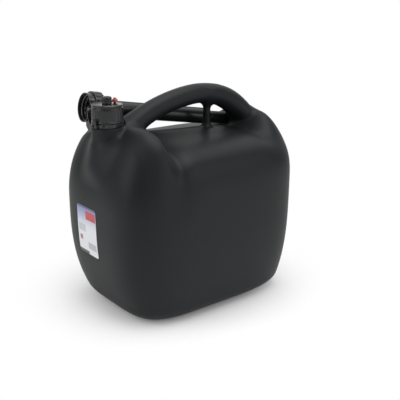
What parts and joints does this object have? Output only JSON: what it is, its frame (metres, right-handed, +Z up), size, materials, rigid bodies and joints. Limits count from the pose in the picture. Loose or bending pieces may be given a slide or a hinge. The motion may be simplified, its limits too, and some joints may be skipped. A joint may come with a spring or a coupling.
{
  "type": "jerrycan",
  "caption": "Black plastic jerrycan with an arched carry handle, screw cap with vent knob and a pouring spout stored along its shoulder.",
  "frame": {"origin": "centre of the base, on the ground", "axes": "+X along the length toward the rear, away from the neck; +Y across toward the stored spout; +Z up"},
  "size_m": [0.3674, 0.26, 0.3745],
  "materials": {
    "body_black": "satin",
    "closure_black": "gloss",
    "spout_black": "satin",
    "button_red": "gloss",
    "seal": "matte",
    "spring_steel": "satin",
    "label": "satin"
  },
  "bodies": {
    "can": {"canister": "body_black", "label": "label", "neck_collar": "closure_black"},
    "lever": {"lock_lever": "closure_black"},
    "seal_ring": {"cap_gasket": "seal"},
    "cap": {"screw_cap": "closure_black", "vent_seal": "seal", "button_spring": "spring_steel"},
    "vent": {"vent_knob": "closure_black"},
    "button": {"lock_button": "button_red"},
    "spout": {"spout_tube": "spout_black", "spout_gasket": "seal"},
    "nut": {"spout_nut": "closure_black"},
    "tip": {"tip_cap": "spout_black"}
  },
  "joints": [
    {"name": "lever_tilt", "type": "hinge", "parent": "can", "child": "lever", "pos_m": [-0.17514, -0.00727, 0.3263], "axis": [0.2588, -0.9659, 0], "range_deg": [0, 12], "stiffness_Nm_per_rad": 0.02, "springref_deg": -5.73},
    {"name": "cap_rise", "type": "slide", "parent": "can", "child": "seal_ring", "axis": [0, 0, 1], "range_m": [0, 0.018]},
    {"name": "cap_turn", "type": "hinge", "parent": "seal_ring", "child": "cap", "pos_m": [-0.148, 0, 0.34], "axis": [0, 0, 1], "range_deg": [0, 1080]},
    {"name": "vent_turn", "type": "hinge", "parent": "cap", "child": "vent", "pos_m": [-0.148, 0, 0.36], "axis": [0, 0, 1], "range_deg": [0, 360]},
    {"name": "button_press", "type": "slide", "parent": "cap", "child": "button", "axis": [0, 0, -1], "range_m": [0, 0.002], "stiffness_N_per_m": 300, "springref_m": -0.002, "deforming": ["button_spring"]},
    {"name": "spout_draw", "type": "slide", "parent": "can", "child": "spout", "axis": [-0.9834, 0.086, 0.1599], "range_m": [0, 0.27]},
    {"name": "nut_turn", "type": "hinge", "parent": "spout", "child": "nut", "pos_m": [-0.156, 0.06, 0.345], "axis": [-0.9834, 0.086, 0.1599], "continuous": true},
    {"name": "tip_turn", "type": "hinge", "parent": "spout", "child": "tip", "pos_m": [-0.156, 0.06, 0.345], "axis": [-0.9834, 0.086, 0.1599], "continuous": true}
  ],
  "couplings": [
    {"joint": "cap_rise", "follows": "cap_turn", "m_per_rad": 0.00095493}
  ]
}
